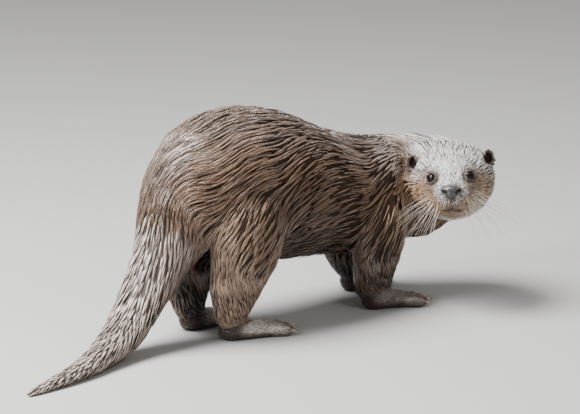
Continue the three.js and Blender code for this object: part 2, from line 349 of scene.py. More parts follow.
def covering():
    """The solids, each a little swelled, wrapped in one closed skin of small squares."""
    mesh = bpy.data.meshes.new("wrapping")
    with editing(mesh) as shell:
        for name in node_names:
            shell.from_mesh(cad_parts[name].data)
        bmesh.ops.remove_doubles(shell, verts=shell.verts, dist=0.01 * MM)
        shell.normal_update()
        for vertex in shell.verts:
            vertex.co += vertex.normal * OVERLAP
    holder = linked("wrapping", mesh)
    wrap = holder.modifiers.new("wrap", "REMESH")
    wrap.mode, wrap.voxel_size = "VOXEL", VOXEL
    wrapped = bpy.data.meshes.new_from_object(holder.evaluated_get(bpy.context.evaluated_depsgraph_get()))
    bpy.data.objects.remove(holder)
    return wrapped


def normals_of(mesh):
    return rows_of(mesh.vertex_normals, "vector", 3).astype(float)


def edges_of(mesh):
    return rows_of(mesh.edges, "vertices", 2, np.int32)


def set_points(mesh, points):
    mesh.vertices.foreach_set("co", np.asarray(points, np.float32).ravel())
    mesh.update()


def relax(values, rounds, weight=0.5):
    """Each round moves the value at every point of the skin towards the mean of its neighbours' values by
    a share, the weight."""
    count = len(values)
    rows = np.array(values, float).reshape(count, -1)
    ends, others = np.concatenate([pairs, pairs[:, ::-1]]).T
    degree = np.maximum(np.bincount(ends, minlength=count), 1)
    for _ in range(rounds):
        for column in rows.T:
            mean = np.bincount(ends, column[others], minlength=count) / degree
            column += (mean - column) * weight
    return rows.reshape(np.shape(values))


def keep_outer(mesh):
    """Deletes every shell of the mesh but the one that holds its highest point."""
    ends = edges_of(mesh).T
    label, before = np.arange(len(mesh.vertices)), None
    while before is None or (label != before).any():
        before = label.copy()
        low = label[ends].min(0)
        np.minimum.at(label, ends[0], low)
        np.minimum.at(label, ends[1], low)
        label = label[label]
    inner = np.flatnonzero(label != label[points_of(mesh)[:, 2].argmax()])
    with editing(mesh) as work:
        work.verts.ensure_lookup_table()
        bmesh.ops.delete(work, geom=[work.verts[i] for i in inner], context="VERTS")


def refine(mesh, wanted):
    """Cuts each square whose corners are all wanted in four. wanted is a rule on an array of points."""
    chosen = wanted(points_of(mesh))
    with editing(mesh) as work:
        edges = [edge for edge in work.edges if all(chosen[vertex.index] for vertex in edge.verts)]
        bmesh.ops.subdivide_edges(work, edges=edges, cuts=1, use_grid_fill=True)
        bmesh.ops.triangulate(work, faces=[face for face in work.faces if len(face.verts) > 4])


class Lattice:
    """Finds the nearest of many points to within a cell, for whole arrays of places at once."""

    def __init__(self, points, cell, reach):
        self.cell, self.low = cell, points.min(0) - cell * (reach + 2)
        shape = ((points.max(0) - self.low) / cell).astype(int) + reach + 3
        grid = np.full(shape, -1, np.int32)
        grid[tuple(((points - self.low) / cell).astype(int).T)] = np.arange(len(points))
        for _ in range(reach):
            for axis, step in ((0, 1), (0, -1), (1, 1), (1, -1), (2, 1), (2, -1)):
                grid = np.where(grid < 0, np.roll(grid, step, axis), grid)
        self.grid = grid

    def nearest(self, places):
        index = ((places - self.low) / self.cell).astype(int)
        index = np.clip(index, 0, np.array(self.grid.shape) - 1)
        return self.grid[tuple(index.T)]


def solid_samples():
    """Points spread over all the solids' faces, with the number of each point's node. A triangle gets a
    grid of points, finer the longer its longest side is."""
    spots, owners = [], []
    for number, name in enumerate(node_names):
        corners = corners_of(name)
        longest = np.linalg.norm(corners - np.roll(corners, 1, 1), axis=2).max(1)
        halvings = np.clip(np.ceil(np.log2(longest / SAMPLE_GAP)), 0, 5)
        for level in np.unique(halvings):
            share = (np.arange(2**level) + 0.33) / 2**level
            s, t = np.meshgrid(share, share)
            s, t = s[s + t < 1][:, None], t[s + t < 1][:, None]
            a, b, c = corners[halvings == level].transpose(1, 0, 2)[:, :, None]
            spots.append((a + s * (b - a) + t * (c - a)).reshape(-1, 3))
            owners.append(np.full(len(spots[-1]), number))
    return np.concatenate(spots), np.concatenate(owners)


SIDES = {"right": -1, "left": 1}
EYES = {side: middle("eye_" + side) for side in SIDES}
EARS = {side: middle("ear_" + side) for side in SIDES}
EYE_RADIUS = 7.0 * MM
FACE_MIDDLE, FACE_REACH = from_head([38 * MM, 0, -4 * MM]), 42 * MM
LIPS_MIDDLE, LIPS_REACH = from_head([56 * MM, 0, -14 * MM]), 17 * MM
EYE_REACH, EAR_REACH = 13 * MM, 15 * MM


def near(points, *places):
    """Whether each point is near one of some places, each given with its reach."""
    return np.any([lengths(points - place) < reach for place, reach in places], axis=0)


def face_part(points):
    return near(points, (FACE_MIDDLE, FACE_REACH), *((ear, EAR_REACH) for ear in EARS.values()))


def fine_face_part(points):
    organs = [*EYES.values(), *EARS.values()]
    return near(points, (LIPS_MIDDLE, LIPS_REACH), *((place, EYE_REACH) for place in organs))


BODY_ORIGIN = np.array([13.8, 40.9, 0.0])
FEET = {  # the heel's place on the floor, its turn in degrees, and the foot's length and its ball's place
    "hind_right": ((-50, -35), -10, 114, 64), "hind_left": ((-53, 29), 8, 114, 64),
    "fore_right": ((188, -43), -14, 102, 52), "fore_left": ((236, 35), 21, 102, 52),
}
TOE_GAP, TOE_ARC = 12.0, 3.4


def foot_places(points, foot):
    """Places in one foot's own frame in mm: ahead of the heel, to the left, and above the floor."""
    heel, turn, _, _ = FEET[foot]
    x, y, up = (points / MM - np.array([*heel, 0.0]) - BODY_ORIGIN).T
    cos, sin = math.cos(math.radians(turn)), math.sin(math.radians(turn))
    return x * cos + y * sin, y * cos - x * sin, up


def toe_part(points):
    """The top of each foot from the ball to the tips of the toes."""
    found = np.zeros(len(points), bool)
    for foot, (_, _, foot_length, ball) in FEET.items():
        ahead, left, up = foot_places(points, foot)
        found |= (ahead > ball - 10) & (ahead < foot_length + 6) & (abs(left) < 36) & (up > 4.5) & (up < 30)
    return found


skin_mesh = covering()
keep_outer(skin_mesh)
for part in (face_part, fine_face_part, toe_part):
    refine(skin_mesh, part)
pairs = edges_of(skin_mesh)
points = points_of(skin_mesh)
spots, owners = solid_samples()
owner = owners[Lattice(spots, 2.5 * MM, 4).nearest(points)]
kinds = np.array([kind_of[name] for name in node_names])
node_here, kind_here = np.array(node_names)[owner], kinds[owner]


def each(table, usual=None):
    """The value in a table of kinds of part, at each of the skin's points."""
    return np.array([table.get(kind, usual) for kind in kinds], float)[owner]


def on(*wanted):
    """Whether each of the skin's points lies on one of these kinds of part."""
    return np.isin(kind_here, wanted)


points = relax(points, 14, relax(each(SOFTNESS, 0.5), 6))
set_points(skin_mesh, points)
depth = relax(each(COAT_DEPTH) * MM, 24)
normals = unit(relax(normals_of(skin_mesh), 3))
points = points - normals * depth[:, None]
FLOOR_GAP = 0.1 * MM
points[:, 2] = np.maximum(points[:, 2], FLOOR_GAP)

# The face: round lids that hug the eyes, a groove down from the nose, the line of the mouth between
# full lips, and a hollow that the nose pad sits in.
LID_WIDE, LID_HIGH, LID_THICK = 6.1 * MM, 5.8 * MM, 0.8 * MM
AWAY = 9.0  # a ring number that lies outside everything
EYE_WAY, EAR_WAY = (0.70, 0.54, 0.47), (0.88, 0.42, 0.10)  # how each looks or opens: ahead, aside and up


def head_way(way, sign):
    """A direction of the head's own on one side of it, as a direction of the scene."""
    ahead, aside, above = way
    return unit(from_head([ahead, sign * aside, above]) - head_middle)


eye_axis = {side: head_way(EYE_WAY, sign) for side, sign in SIDES.items()}


def eye_axes(side):
    """The way an eye looks, and the ways across and up its face."""
    across = unit(np.cross(head_up, eye_axis[side]))
    return eye_axis[side], across, np.cross(eye_axis[side], across)


def lids(points, side):
    """Skin round one eye. Inside the opening it sinks into the eyeball. At its rim it stands a lid's
    thickness off the ball, and further out it goes back to where it was."""
    axis, across, rise = eye_axes(side)
    away = points - EYES[side]
    out, x, y = away @ axis, away @ across, away @ rise
    ring = np.hypot(x / LID_WIDE, y / LID_HIGH)
    here = (ring < 3.2) & (out > -8 * MM)
    onto_rim = here & (abs(ring - 1) < 0.10)
    scale = np.where(onto_rim, 1 / np.maximum(ring, 0.01), 1.0)
    x, y, ring = x * scale, y * scale, ring * scale
    flat = np.hypot(x, y)
    ball = np.sqrt(np.maximum(EYE_RADIUS**2 - flat**2, 0))
    rim = np.sqrt(np.maximum((EYE_RADIUS + LID_THICK) ** 2 - flat**2, 0))
    sunk = ball - 1.4 * MM
    lid = np.where(ring < 1, sunk + (rim - sunk) * fade(ring, 0.80, 1.0), rim)
    share = fade(ring, 2.5, 1.15)
    height = lid * share + out * (1 - share)
    moved = EYES[side] + axis * height[:, None] + across * x[:, None] + rise * y[:, None]
    return np.where(here[:, None], moved, points), np.where(here, ring, AWAY)


lid_ring = np.full(len(points), AWAY)
for side in SIDES:
    points, ring = lids(points, side)
    lid_ring = np.minimum(lid_ring, ring)

MOUTH_HEIGHT, MOUTH_CORNER = -19.2, 27.0  # in mm, up and aside from the middle of the head
MOUTH_DEEP, MOUTH_WIDE = 1.5 * MM, 0.95 * MM
PHILTRUM_DEEP, PHILTRUM_WIDE = 1.1 * MM, 1.3 * MM
LIP_SWELL, LIP_WIDE = 0.9 * MM, 2.2 * MM
NOSE_WIDE, NOSE_BELOW = 13.2, 0.52  # half the nose's width in mm, and the share by which it narrows below
NOSE_DEEP = 6.0 * MM  # the hollow in the skin that the nose pad sits in
head_points = to_head(points)
forward, left, up = head_points.T / MM


def bell(gap, width):
    """1 at a gap of 0, falling on both sides like a bell of this width."""
    return np.exp(-((gap / width) ** 2))


def mouth_line(left):
    """The mouth's height at a place across the face: it drops a little beside the middle, and then
    rises to its corners."""
    across = abs(left) / MOUTH_CORNER
    return MOUTH_HEIGHT - 2.6 * np.sin(np.clip(across * 3, 0, 1) * math.pi / 2) ** 2 + 3.0 * across**2


in_front = (forward > 20) & (lengths(head_points) < 90 * MM)
mouth_gap = np.where(in_front & (abs(left) < MOUTH_CORNER + 2), abs(up - mouth_line(left)), 99.0) * MM
mouth_gap += 2.4 * MM * fade(abs(left), 9, 20)  # shallower towards the corners
groove_gap = np.where((forward > 40) & (up < -3) & (up > MOUTH_HEIGHT), abs(left), 99.0) * MM
set_points(skin_mesh, points)
normals = normals_of(skin_mesh)
sink = MOUTH_DEEP * bell(mouth_gap, MOUTH_WIDE) + PHILTRUM_DEEP * bell(groove_gap, PHILTRUM_WIDE)
swell = LIP_SWELL * bell(mouth_gap - 4 * MM, LIP_WIDE)
NOSE_PLACE = np.array([64, 0, 3.6])


def nose_taper(up):
    """The nose's width at a height, as a share: it narrows below the middle."""
    return 1 - NOSE_BELOW * fade(up, 0.05, -1.0)


ahead, aside, above = (head_points / MM - NOSE_PLACE).T
nose_high = np.where(above > 0, 8.6, 10.4)
nose_ring = np.sqrt(
    (ahead / 11) ** 2 + (aside / (NOSE_WIDE * nose_taper(above / 10.2))) ** 2 + (above / nose_high) ** 2)
sink += 0.9 * MM * fade(nose_ring, 1.12, 1.0) + NOSE_DEEP * fade(nose_ring, 0.93, 0.75)
points = points + normals * (swell - sink)[:, None]

# The feet: grooves part the toes. Each is a bell across the gap between two toes, which starts behind
# the ball of the foot and runs out into the web.
TOE_GROOVE_DEEP, TOE_GROOVE_WIDE = 3.2 * MM, 1.9
foot_ahead, foot_up = np.full(len(points), -99.0), np.full(len(points), 99.0)
toe_crest, toe_groove = np.zeros(len(points)), np.zeros(len(points))
for foot, (_, _, foot_length, ball) in FEET.items():
    ahead, left, up = foot_places(points, foot)
    here = (ahead > -25) & (ahead < foot_length + 8) & (abs(left) < 38) & (up < 42)
    share = np.clip((ahead - ball) / (foot_length - ball), 0, 1)
    toes = left / (TOE_GAP * (0.76 + 0.36 * share))
    between = abs(toes - np.clip(np.floor(toes), -2, 1) - 0.5) * TOE_GAP
    started = fade(ahead, ball - 18, ball + 12) * here
    toe_groove = np.maximum(toe_groove, started * bell(between, TOE_GROOVE_WIDE))
    toe_crest = np.maximum(toe_crest, started * fade(between, 3.0, 5.5))
    foot_ahead = np.where(here, ahead - ball, foot_ahead)
    foot_up = np.where(here, up, foot_up)
on_top = fade(normals[:, 2], -0.35, 0.1)
points = points - normals * (TOE_GROOVE_DEEP * toe_groove * on_top)[:, None]

# The ears: an open cup in each, with a rim round it. Over the front of an ear the skin is set to a level
# that rises from the cup's floor to the crest of its rim, at ring number 1, and eases off beyond it.
EAR_WIDE, EAR_HIGH = 6.9 * MM, 9.8 * MM  # from the middle of the ear to the crest of its rim
CUP_FLOOR, CUP_CREST = -3.2 * MM, 3.4 * MM
ear_cup, ear_ring = np.zeros(len(points)), np.full(len(points), AWAY)
normals = unit(relax(normals_of(skin_mesh), 3))
for side, sign in SIDES.items():
    open_way = head_way(EAR_WAY, sign)
    away = points - EARS[side]
    out = away @ open_way
    wide = away - out[:, None] * open_way
    rise = wide @ head_up
    across = lengths(wide - rise[:, None] * head_up)
    ring = np.hypot(across / EAR_WIDE, (rise - 0.5 * MM) / EAR_HIGH)
    front = fade(normals @ open_way, -0.35, 0.15) * fade(out / MM, -11, -4)
    front *= (out < 12 * MM) * (ring < 1.7)
    level = CUP_FLOOR + (CUP_CREST - CUP_FLOOR) * fade(ring, 0.45, 0.93)
    points = points + open_way * ((level - out) * (front * fade(ring, 1.50, 1.04)))[:, None]
    close = front * fade(out / MM, -6, -4)
    ear_cup = np.maximum(ear_cup, close * fade(ring, 0.98, 0.62))
    on_ear = (close > 0.3) | (near(points, (EARS[side], 13.5 * MM)) & (out > -7 * MM))
    ear_ring = np.where(on_ear, np.minimum(ear_ring, ring), ear_ring)
points[:, 2] = np.maximum(points[:, 2], FLOOR_GAP)
set_points(skin_mesh, points)


def smooth_shaded(mesh):
    mesh.polygons.foreach_set("use_smooth", np.ones(len(mesh.polygons), bool))
    return mesh


skin = linked("skin", smooth_shaded(skin_mesh))
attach(skin, "root")
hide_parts(*[name for name in node_names if kind_of[name] not in ("eye", "nose_pad")])

# ---- markings ----
# The wet coat is dark brown, golden tan on the cheeks and the throat, and dark round the eyes and in the
# ears. A painted sheen makes it greyer over the brow and the back, and paler on the tail and the tops of the
# feet. Painted shade darkens it under the belly, the neck and the jaw and on the inner sides of the legs.


def shade(red, green, blue):
    """A colour of 0 to 255 as a screen shows it, as the linear values that light is worked out with."""
    value = np.array([red, green, blue]) / 255
    return np.where(value < 0.04045, value / 12.92, ((value + 0.055) / 1.055) ** 2.4)


BROWN, GREY_AND_SHEEN, TAN = shade(120, 92, 72), shade(184, 171, 160), shade(226, 188, 150)
DARK, BELLY_AND_SHADE, PALE_BROW_AND_SHEEN = shade(40, 32, 28), shade(66, 48, 36), shade(250, 248, 246)
THIGH, TAIL_SHEEN, INNER_SHADE = shade(146, 118, 96), shade(214, 198, 186), shade(26, 20, 15)
FOOT_AND_SHEEN, HEEL, TOE = shade(236, 224, 214), shade(58, 42, 32), shade(140, 112, 94)
LIP, EAR_BROWN, EAR_INSIDE = shade(150, 108, 90), shade(128, 104, 88), shade(38, 28, 23)
HEAD, FEET_KINDS = ("head", "ear", "eye", "nose_pad"), ("hind_foot", "fore_foot")


def gap_to(places):
    """How far each of the skin's points is from the nearest of some places, in mm."""
    return np.minimum(*(lengths(points - place) for place in places)) / MM


points, normals = points_of(skin_mesh), unit(relax(normals_of(skin_mesh), 4))
head_points = to_head(points)
eye_gap, ear_gap = gap_to(EYES.values()), gap_to(EARS.values())


def markings():
    """The coat's colour at each point of the skin: one colour after another is mixed in by its own share."""
    colour = np.tile(BROWN, (len(points), 1))

    def wash(tint, *shares):
        nonlocal colour
        colour = colour + (tint - colour) * np.clip(math.prod(shares), 0, 1)[:, None]

    head = head_points / MM
    forward, left, up = head.T
    upwards, aside = normals[:, 2], abs(left)
    near_head = lengths(head - np.array([10, 0, 0]))
    by_nose = lengths(head - np.array([62, 0, 0]))
    # The body and the legs: painted shade below and on the inner sides of the legs, and a painted grey sheen
    # on top.
    wash(BELLY_AND_SHADE, 0.85 * fade(upwards, 0.05, -0.6), ~on(*HEAD))
    wash(BELLY_AND_SHADE, 0.10 * on("upper_arm") + 0.6 * on("forearm"))
    # Painted sheen: grey on the surfaces that face up, and on the upper side of the neck.
    wash(GREY_AND_SHEEN, 0.32 * fade(upwards, 0.3, 0.95) + 0.6 * on("neck") * fade(upwards, 0.1, 0.8))
    wash(THIGH, 0.8 * on("thigh", "shank"))
    # Painted shade on the side of each leg that faces the other legs.
    for leg, nodes in LEGS.items():
        inwards = normals[:, 1] * (1 if leg.endswith("right") else -1)
        wash(INNER_SHADE, 0.85 * np.isin(node_here, nodes), fade(inwards, -0.1, 0.6))
    # The throat and the cheeks are tan, and the brow is pale, partly a painted sheen of the wet fur.
    wash(TAN, 0.40 * (fade(near_head, 98, 60) * fade(up, 8, -14)))
    # Painted shade under the neck, where it faces down.
    wash(BELLY_AND_SHADE, 0.6 * on("neck"), fade(upwards, 0.0, -0.6))
    wash(TAN, 0.5 * fade(near_head, 75, 50), fade(up, 22, 4), fade(aside, 18, 34))
    band = 16 + 28 * fade(forward, 40, 6)
    wash(PALE_BROW_AND_SHEEN, 0.80 * on(*HEAD), fade(up, -6, 14), fade(aside - band, 12, -12),
         fade(near_head, 96, 62))
    wash(BROWN, 0.4 * fade(eye_gap, 16, 9))
    wash(PALE_BROW_AND_SHEEN, 0.55 * fade(by_nose, 24, 14), fade(up, -14, -2))
    # The feet: dark soles and heels, pale tops that are partly a painted sheen of the wet skin, and brown
    # toes with darker gaps.
    is_foot, is_fore = on(*FEET_KINDS), on("fore_foot")
    wash(HEEL, is_foot)
    wash(FOOT_AND_SHEEN, is_foot * (1.0 - 0.7 * is_fore), fade(foot_up, 6, 11),
         fade(foot_ahead, -46, -34), fade(foot_ahead, 40, 8))
    wash(TOE, is_foot * 0.8, fade(foot_up, 4, 8), fade(foot_ahead, 6, 26))
    # Pale crests on the toes, partly a painted sheen of the wet skin.
    wash(FOOT_AND_SHEEN, is_foot * (0.6 - 0.3 * is_fore), toe_crest, fade(foot_up, 5, 9))
    wash(DARK, is_foot * 0.6, toe_groove)
    # The muzzle and the chin, then the lids, the lips, the nose, the ears and the tail.
    muzzle = fade(forward, 34, 46) * fade(aside, 8, 16) * fade(up, 0, -9)
    wash(TAN, 0.55 * on(*HEAD), muzzle)
    wash(BROWN, 0.35 * on(*HEAD), muzzle)
    jaw = fade(up - MOUTH_HEIGHT, -3, -12)
    wash(TAN, 0.6 * jaw, fade(near_head, 98, 70))
    # Painted shade under the jaw.
    wash(BELLY_AND_SHADE, 0.45 * jaw, fade(near_head, 98, 70))
    wash(DARK, 0.85 * fade(lid_ring, 1.50, 1.10))
    wash(GREY_AND_SHEEN, 0.40 * fade(lid_ring, 1.04, 1.10), fade(lid_ring, 1.24, 1.14))
    below_line = (up < mouth_line(left)) * fade(aside, 13, 7)
    wash(LIP, 0.9 * fade(mouth_gap / MM, 3.2, 2.0), below_line)
    wash(DARK, 0.9 * fade(mouth_gap / MM, 1.3, 0.5))
    wash(DARK, 0.8 * fade(nose_ring, 1.13, 1.04))
    wash(DARK, 0.7 * fade(groove_gap / MM, 1.2, 0.4))
    # Painted shade under the nose pad, on the upper lip.
    wash(DARK, 0.55 * fade(aside, 9, 4), fade(up, -6, -9), up > MOUTH_HEIGHT, forward > 40)
    ear_rim = fade(ear_gap, 15, 11.5) * fade(ear_ring, 1.32, 1.12)
    wash(EAR_BROWN, 0.95 * np.maximum(ear_rim, on("ear")))
    wash(EAR_INSIDE, 0.95 * fade(ear_cup, 0.35, 0.9))
    # Painted sheen: the tail is paler on its upper side.
    wash(TAIL_SHEEN, 0.95 * on(*TAIL_PARTS), fade(upwards, -0.5, 0.4))
    return colour


def paint_points(mesh, colour=None, **more):
    """Puts a colour on each point, and any other numbers under their own names."""
    if colour is not None:
        layer = mesh.attributes.new("colour", "FLOAT_COLOR", "POINT")
        colour = np.column_stack([colour, np.ones(len(colour))])
        layer.data.foreach_set("color", colour.astype(np.float32).ravel())
    for name, values in more.items():
        layer = mesh.attributes.new(name, "FLOAT", "POINT")
        layer.data.foreach_set("value", np.asarray(values, np.float32))


skin_colour = relax(markings(), 14, 0.5 * (1 - on(*HEAD)))
is_bare = on(*FEET_KINDS, "nose_pad", "eye") | (lid_ring < 1.35) | (ear_cup > 0.3)
face_pale = on(*HEAD) * fade(head_points[:, 0] / MM, 18, 52)
face_pale = relax(np.maximum(face_pale, 0.9 * on(*FEET_KINDS) * fade(foot_up, 5, 11)), 10)
paint_points(skin_mesh, skin_colour, bare=relax(is_bare, 3), face=face_pale)

skin_paint = Paint("skin_and_underfur_shade")
speckle, fine = skin_paint.noise(900.0, 2.0), skin_paint.noise(2600.0, 2.0)
# Where the coat covers it, the skin is mostly near black: painted shade in the gaps between the ribs, lighter
# on the face and the tops of the feet.
underfur_shade = skin_paint.mix(skin_paint.attribute("face"), (0.022, 0.015, 0.011, 1), (0.060, 0.046, 0.038, 1))
coloured = skin_paint.attribute("colour", out="Color")
under = skin_paint.mix(skin_paint.attribute("bare") * 0.75 + 0.16, underfur_shade, coloured)
flecked = skin_paint.mix(skin_paint.ramp(speckle, 0.35, 0.7) * 0.35, under, (0.03, 0.022, 0.017, 1))
skin_mesh.materials.append(skin_paint.finish(
    base_color=flecked, roughness=0.75, specular=0.18, bump=(fine + speckle, 0.35, 0.0006)))

# ---- lie of the coat ----
# Hair grows away from the nose, over the head, along the body line to the tail, and down the legs to
# the toes, and on the flanks it also hangs a little.

FLANK_HANG, BELLY_HANG = 0.42, 0.2
HAIR_ORIGIN = np.array([66, 0, 6]) * MM  # where on the head all hair points away from
line_way = unit(np.gradient(body_line, axis=0))
line_share = np.linspace(0, 1, len(body_line))
nearest_on_line = np.concatenate([
    np.linalg.norm(part[:, None] - body_line[None], axis=2).argmin(1) for part in np.array_split(points, 24)])
flow = line_way[nearest_on_line].copy()
hang = FLANK_HANG + BELLY_HANG * fade(normals[:, 2], 0.25, -0.5)
flow[:, 2] -= hang * (1 - abs(normals[:, 2])) ** 0.8
on_face = on("head", "eye", "nose_pad")
flow[on_face] = unit((head_points - HAIR_ORIGIN) @ HEAD_AXES)[on_face]
# Down each leg it runs along the upper part, more steeply along the lower, and ahead along the foot, whose
# long way is found from how its points are spread.
for nodes in LEGS.values():
    upper, lower, foot = (middle(node) for node in nodes)
    foot_points = corners_of(nodes[2]).reshape(-1, 3)
    spread = np.cov((foot_points - foot_points.mean(0))[:, :2].T)
    foot_way = np.linalg.eigh(spread)[1][:, 1]
    foot_way = np.append(foot_way * np.sign(foot_way[0]), 0.0)
    ways = [unit(lower - upper), unit(foot - lower) * [0.5, 0.5, 1], foot_way]
    for node, way, share in zip(nodes, ways, (0.5, 1.0, 1.0)):
        rows = node_here == node
        flow[rows] = unit(flow[rows] * (1 - share) + unit(way) * share)
for side, ear in EARS.items():
    rows = node_here == "ear_" + side
    flow[rows] = unit(points[rows] - ear + head_up * 4 * MM)


def tangent(vectors, normals):
    """Vectors with what sticks out of the surface taken away, one long."""
    return unit(vectors - normals * (vectors * normals).sum(1)[:, None])


flow = tangent(relax(unit(flow), 14), normals)
# Round the eyes and the ears it turns away from them.
for place, far, close in [(eye, 17, 9) for eye in EYES.values()] + [(ear, 19, 12) for ear in EARS.values()]:
    towards = tangent(place - points, normals)
    nearby = fade(lengths(points - place) / MM, far, close)
    inwards = (flow * towards).sum(1)
    flow = unit(flow - towards * (np.maximum(inwards, 0) * nearby + 0.25 * nearby)[:, None])

# ---- coat ----
# Wet guard hairs that cling together in long pointed ribs with dark gaps between; the gaps are darkened
# by painted shade on the skin and on the roots of the locks. Each rib is a few locks that run together
# towards one tip. A lock is a thin closed spike with three sides, rooted a little below the skin.

TRACE = 7  # places at which a rib's middle line is traced over the skin
RIB_LENGTH = {  # in mm
    "trunk": 40, "neck": 34, "thigh": 28, "shank": 18, "upper_arm": 26, "forearm": 16, "tail_base": 36,
    "tail_middle": 28, "tail_tip": 17, "head": 24, "ear": 4.6, "nose_pad": 2.5, "eye": 2.4, "hind_foot": 4.6,
    "fore_foot": 4.2,
}
BIG = ("trunk", "neck", "thigh", "upper_arm", "tail_base")
SMALL = ("shank", "forearm", "tail_middle", "tail_tip")
LINE_LENGTH = lengths(np.diff(body_line, axis=0)).sum()
NEAREST = 0.80  # how near two ribs may start, in gaps
PATCH = 0.003  # how long one lock is on the unwrap
THINNEST = 0.6 * MM  # the least depth of the coat
LOCK_SHAPE, LOCK_HIGH = (0.75, 1.0, 0.66), 0.62  # a lock's width ring by ring, and its height by its width
ROOT_SUNK = 0.4 * MM

on_head = on(*HEAD)
face_front = fade(head_points[:, 0] / MM, 12, 50) * on_head
by_ear = fade(ear_gap, 24, 12)
jaw = fade(head_points[:, 2] / MM - MOUTH_HEIGHT, -4, -14)
line_bend = np.gradient(line_way, axis=0) / (LINE_LENGTH / (len(body_line) - 1))
outer_curve = 1 - ((points - body_line[nearest_on_line]) * line_bend[nearest_on_line]).sum(1)
rib_length = relax(each(RIB_LENGTH) * MM, 20)
rib_length *= np.where(on_head, 1.0, np.clip(outer_curve, 0.8, 1.4))
rib_length *= 1 - 0.6 * fade(eye_gap, 17, 9)
by_mouth = fade(mouth_gap / MM, 8, 3)
rib_length *= (1 - 0.68 * face_front * (1 - 0.75 * jaw)) * (1 - 0.45 * by_ear) * (1 - 0.45 * by_mouth)
coat_depth = depth * (1 - 0.66 * face_front * (1 - 0.8 * jaw)) * (1 - 0.6 * by_ear)
coat_depth = np.maximum(coat_depth, THINNEST)
skin_lattice = Lattice(points, 2.2 * MM, 5)
skin_triangles = triangles_of(skin_mesh)
triangle_sides = points[skin_triangles[:, 1:]] - points[skin_triangles[:, :1]]
triangle_area = doubled_areas(points[skin_triangles])


def scatter(count, weight, dice):
    """Random places on the skin, more of them where the weight at its points is higher."""
    chance = triangle_area * weight[skin_triangles].mean(1)
    pick = dice.choice(len(chance), count, p=chance / chance.sum())
    shares = dice.random((2, count))
    a, b = np.where(shares.sum(0) > 1, 1 - shares, shares)[..., None]
    return points[skin_triangles[pick, 0]] + a * triangle_sides[pick, 0] + b * triangle_sides[pick, 1]


def settle(place):
    """Brings places onto the skin by dropping them on the plane at the skin's nearest point."""
    row = skin_lattice.nearest(place)
    off = ((place - points[row]) * normals[row]).sum(1)
    return place - normals[row] * off[:, None], row


def off_line(rows, place):
    """How far places are from the body line, ahead, aside and above, at the skin's points in these rows."""
    way = line_way[nearest_on_line[rows]]
    side = unit(np.cross(way, [0.0, 0.0, 1.0]))
    away = place - body_line[nearest_on_line[rows]]
    return (away * way).sum(1), (away * side).sum(1), (away * np.cross(side, way)).sum(1)


def drawn_out(place, squeeze):
    """Places in a space that is squeezed along the lie of the coat, so that what is near there makes a
    long narrow patch on the skin: offsets from the body line, or from the nose on the head."""
    if squeeze == 1:
        return place
    row = skin_lattice.nearest(place)
    ahead, aside, above = off_line(row, place)
    length = line_share[nearest_on_line[row]] * LINE_LENGTH + ahead
    out = np.column_stack([aside, above, length * squeeze])
    lower = np.isin(kind_here[row], SMALL[:2] + FEET_KINDS)
    out[lower] = place[lower] * [1, 1, squeeze]
    headed = on_head[row]
    ray = to_head(place[headed]) - HAIR_ORIGIN
    far = lengths(ray)
    out[headed] = unit(ray) * (45 * MM + squeeze * far)[:, None]
    return out


def spaced(candidates, weight, gap, squeeze, dice):
    """Places on the skin that keep a gap across the coat's lie, and a longer one along it. Of the many
    tried, round by round, a place is taken where none taken before is nearer than the gap."""
    place = scatter(candidates, weight, dice)
    spot = drawn_out(place, squeeze) / gap
    cell = np.floor(spot - spot.min(0)).astype(int) + 1
    shape = cell.max(0) + 2
    code = np.ravel_multi_index(cell.T, shape)

    def crowded(rows, grid, before):
        """Which of these places have another of the grid too near them, of those before them or of all."""
        result = np.zeros(len(rows), bool)
        for step in np.ndindex(3, 3, 3):
            other = grid[tuple((cell[rows] + step - 1).T)]
            rival = (other >= 0) & (other < rows if before else True)
            result |= rival & (lengths(spot[other] - spot[rows]) < NEAREST)
        return result

    taken, alive = np.full(shape, -1), np.arange(candidates)
    for _ in range(6):
        trial = np.full(shape, -1)
        first = np.sort(alive[np.unique(code[alive], return_index=True)[1]])
        trial.ravel()[code[first]] = first
        chosen = first[~crowded(first, trial, True)]
        taken.ravel()[code[chosen]] = chosen
        alive = alive[taken.ravel()[code[alive]] < 0]
        alive = alive[~crowded(alive, taken, False)]
    return place[taken[taken >= 0]]


